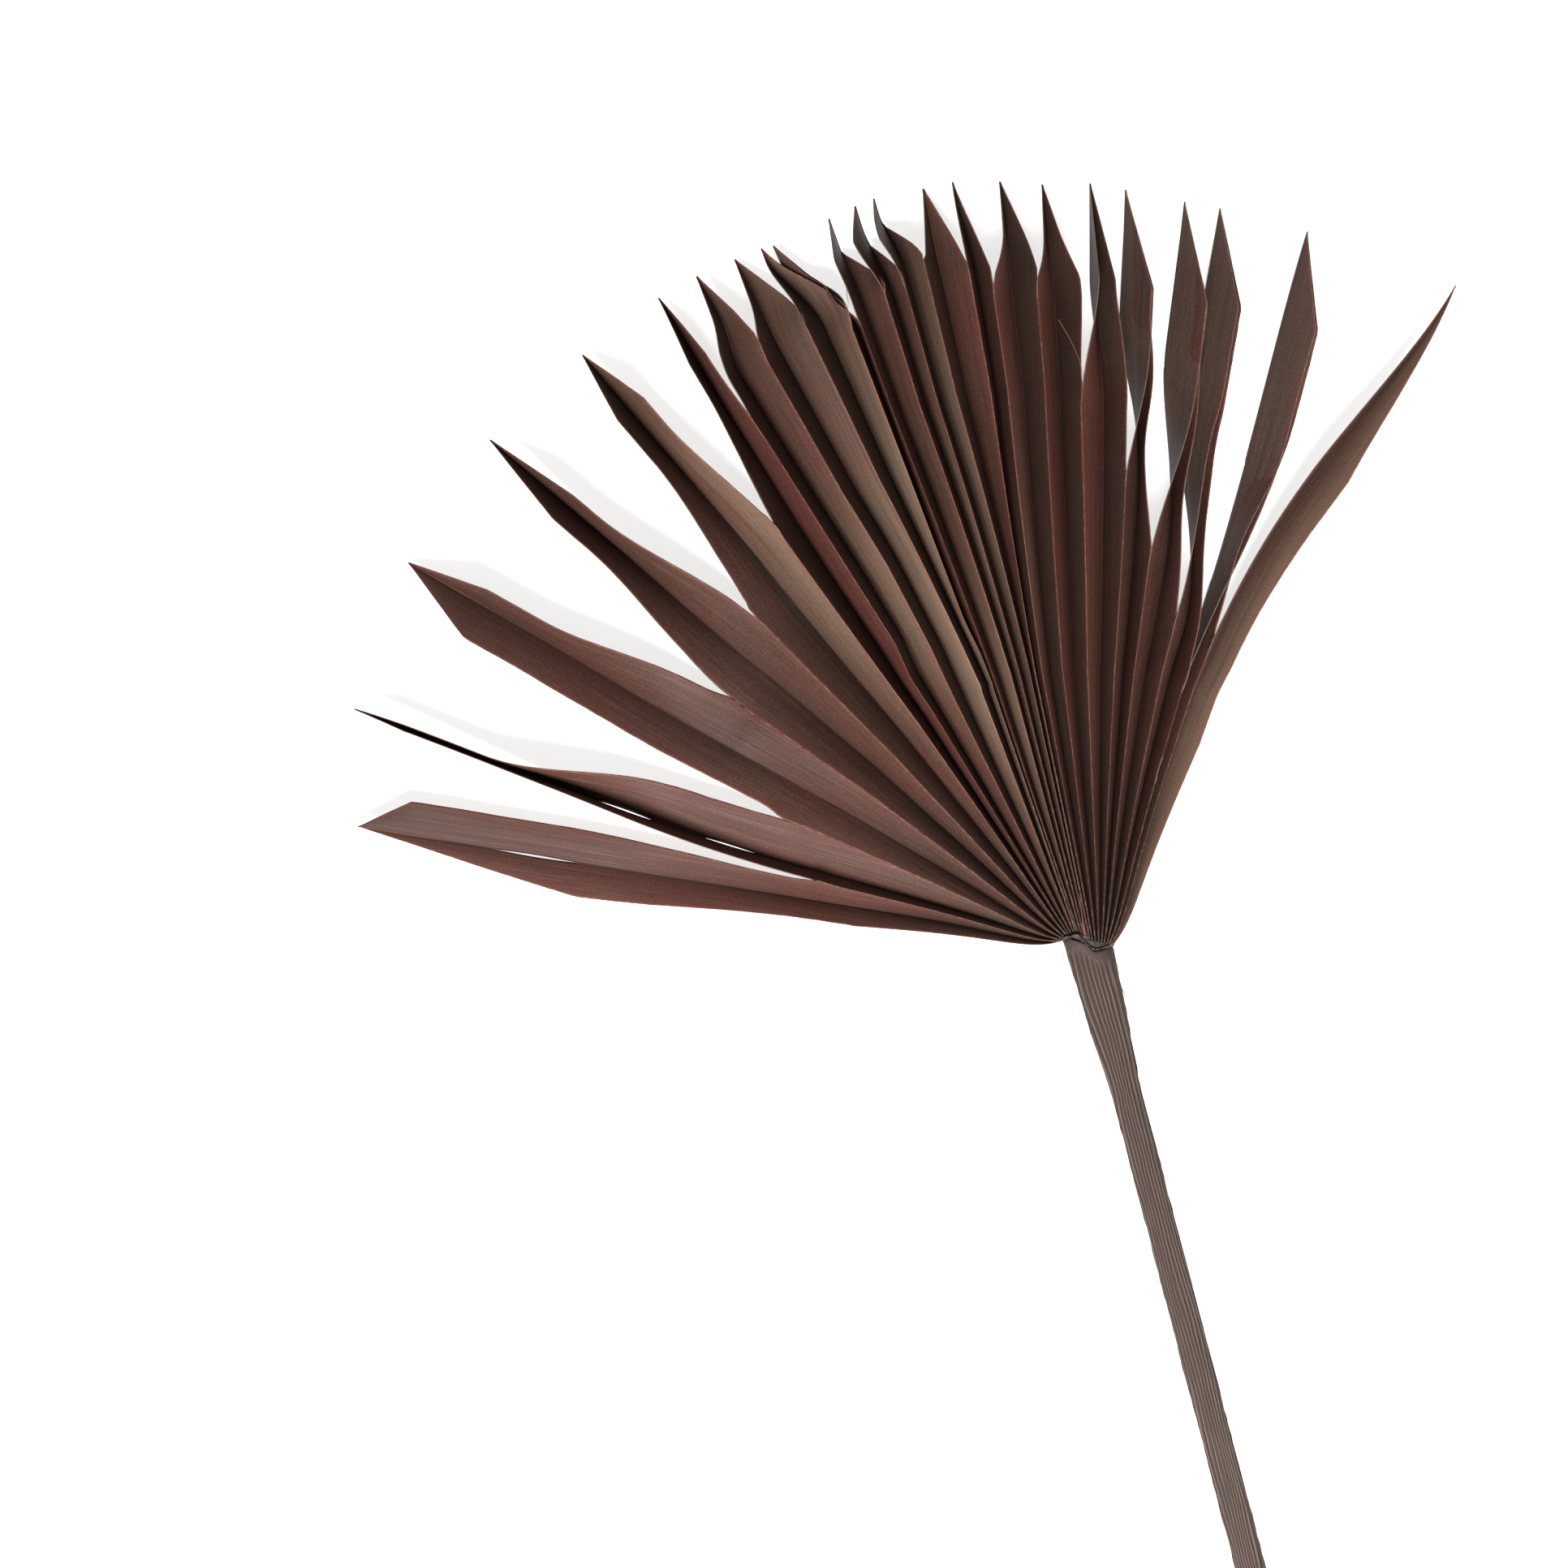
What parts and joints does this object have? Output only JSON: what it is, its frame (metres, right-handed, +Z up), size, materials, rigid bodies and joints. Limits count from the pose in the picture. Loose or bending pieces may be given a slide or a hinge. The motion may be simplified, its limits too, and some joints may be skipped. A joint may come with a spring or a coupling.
{
  "type": "dried fan palm leaf",
  "caption": "Dried and dyed fan palm leaf lying face up: a pleated fan blade with spear-cut segment tips on a long ribbed leafstalk.",
  "frame": {"origin": "on the surface that the leaf lies on, in the middle of the whole leaf's footprint", "axes": "+Z up, away from the surface and out of the leaf's upper face; +Y from the stalk's cut end towards the fan; +X to the right as seen from above with the fan at the top"},
  "size_m": [0.4682, 0.724, 0.0236],
  "materials": {
    "blade": "dyed dry leaf, dark burgundy brown, satin to dull, with fine parallel veins",
    "petiole": "dyed dry leafstalk, dull brown with lighter lengthwise ribs"
  },
  "bodies": {
    "root": {"blade": "blade", "petiole": "petiole"}
  },
  "joints": []
}
